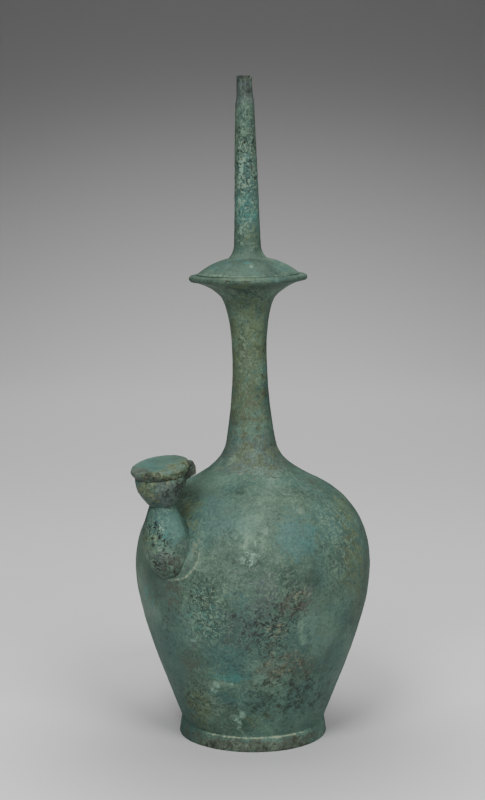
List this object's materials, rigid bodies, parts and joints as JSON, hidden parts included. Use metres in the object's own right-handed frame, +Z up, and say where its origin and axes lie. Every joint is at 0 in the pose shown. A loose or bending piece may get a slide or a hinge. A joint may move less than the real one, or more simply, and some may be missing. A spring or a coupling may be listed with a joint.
{
  "type": "ritual water ewer",
  "caption": "Hollow bronze bottle on a foot ring, with a tall neck, a domed plate, a slim open tube and a hinged-lid side spout.",
  "frame": {"origin": "centre of the foot ring on the ground, under the upright lower body", "axes": "+Z up along the lower body's axis, -Y towards the front as pictured, -X towards the side that the spout and the lean go to"},
  "size_m": [0.1326, 0.1326, 0.3701],
  "materials": {
    "vessel_bronze": "matt blue-green patina with dark pits and mineral crust over cast bronze",
    "tube_bronze": "matt teal patina with pale crust over bronze",
    "spout_bronze": "matt grey-green patina, pitted, over cast bronze",
    "lid_bronze": "smooth teal patina with a yellow-green crusted band over bronze",
    "pin_bronze": "dark brown corroded bronze"
  },
  "bodies": {
    "ewer": {"vessel": "vessel_bronze", "cap_and_tube": "tube_bronze", "spout": "spout_bronze", "hinge_pin": "pin_bronze"},
    "lid": {"spout_lid": "lid_bronze"}
  },
  "joints": [
    {"name": "lid_hinge", "type": "hinge", "parent": "ewer", "child": "lid", "pos_m": [-0.03408, -0.04557, 0.16129], "axis": [-0.1433, 0.9863, 0.0818], "range_deg": [0, 110]}
  ]
}
